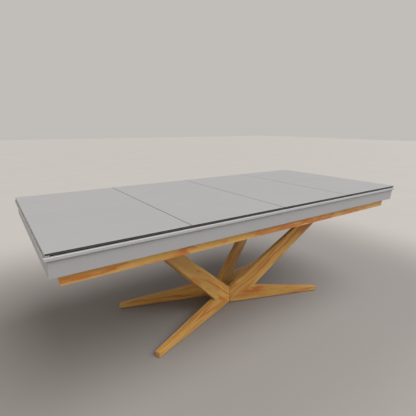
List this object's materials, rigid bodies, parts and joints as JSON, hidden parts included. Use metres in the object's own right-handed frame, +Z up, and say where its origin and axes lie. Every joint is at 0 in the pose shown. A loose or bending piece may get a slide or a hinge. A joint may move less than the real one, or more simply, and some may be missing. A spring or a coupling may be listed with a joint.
{
  "type": "pool table",
  "caption": "Long pool table on four splayed oak limbs, with grey lift-off leaves that turn it into a dining table.",
  "frame": {"origin": "on the floor, under the middle of the table", "axes": "+Z up, +X along the table's length, -Y towards the front long side"},
  "size_m": [2.334, 1.058, 0.79],
  "materials": {
    "leaf_laminate": "satin grey compact laminate with a black core",
    "leaf_backing": "matt black backing board",
    "grey_lacquer": "satin grey lacquer on board",
    "beech": "plain planed beech",
    "cushion_cloth": "slate-blue worsted cloth over rubber",
    "bed_cloth": "slate-blue worsted cloth",
    "pocket_leather": "black leather",
    "pan_plastic": "black moulded plastic",
    "slate": "honed dark slate",
    "oak": "oiled honey oak",
    "plate_steel": "black powder-coated steel",
    "zinc_steel": "zinc-plated steel",
    "glide_nylon": "black nylon"
  },
  "bodies": {
    "root": {"apron_front": "grey_lacquer", "apron_left": "grey_lacquer", "apron_rear": "grey_lacquer", "apron_right": "grey_lacquer", "arm_front_left": "oak", "arm_front_right": "oak", "arm_plates": "plate_steel", "arm_rear_left": "oak", "arm_rear_right": "oak", "ball_pan_corner_front_left": "pan_plastic", "ball_pan_corner_front_right": "pan_plastic", "ball_pan_corner_rear_left": "pan_plastic", "ball_pan_corner_rear_right": "pan_plastic", "base_bearers": "beech", "bed_bearers": "beech", "bed_cloth": "bed_cloth", "cushion_front_left": "cushion_cloth", "cushion_front_right": "cushion_cloth", "cushion_left": "cushion_cloth", "cushion_rear_left": "cushion_cloth", "cushion_rear_right": "cushion_cloth", "cushion_right": "cushion_cloth", "foot_front_left": "oak", "foot_front_right": "oak", "foot_glides": "glide_nylon", "foot_rear_left": "oak", "foot_rear_right": "oak", "frame_screws": "zinc_steel", "glue_blocks": "beech", "hub_block": "oak", "hub_dowels": "beech", "oak_rail_front": "oak", "oak_rail_left": "oak", "oak_rail_rear": "oak", "oak_rail_right": "oak", "plate_screws": "zinc_steel", "pocket_liners": "pocket_leather", "rail_bolts": "zinc_steel", "rail_cap_front_left": "grey_lacquer", "rail_cap_front_right": "grey_lacquer", "rail_cap_left": "grey_lacquer", "rail_cap_rear_left": "grey_lacquer", "rail_cap_rear_right": "grey_lacquer", "rail_cap_right": "grey_lacquer", "side_ball_pans": "pan_plastic", "slate_bed": "slate", "sub_rail_front_left": "beech", "sub_rail_front_right": "beech", "sub_rail_left": "beech", "sub_rail_rear_left": "beech", "sub_rail_rear_right": "beech", "sub_rail_right": "beech"},
    "leaf_1": {"dining_leaf_1": "leaf_laminate", "leaf_pad_1": "leaf_backing"},
    "leaf_2": {"dining_leaf_2": "leaf_laminate", "leaf_pad_2": "leaf_backing"},
    "leaf_3": {"dining_leaf_3": "leaf_laminate", "leaf_pad_3": "leaf_backing"},
    "leaf_4": {"dining_leaf_4": "leaf_laminate", "leaf_pad_4": "leaf_backing"}
  },
  "joints": [
    {"name": "leaf_1_lift", "type": "slide", "parent": "root", "child": "leaf_1", "axis": [0, 0, 1], "range_m": [0, 0.3]},
    {"name": "leaf_2_lift", "type": "slide", "parent": "root", "child": "leaf_2", "axis": [0, 0, 1], "range_m": [0, 0.3]},
    {"name": "leaf_3_lift", "type": "slide", "parent": "root", "child": "leaf_3", "axis": [0, 0, 1], "range_m": [0, 0.3]},
    {"name": "leaf_4_lift", "type": "slide", "parent": "root", "child": "leaf_4", "axis": [0, 0, 1], "range_m": [0, 0.3]}
  ]
}
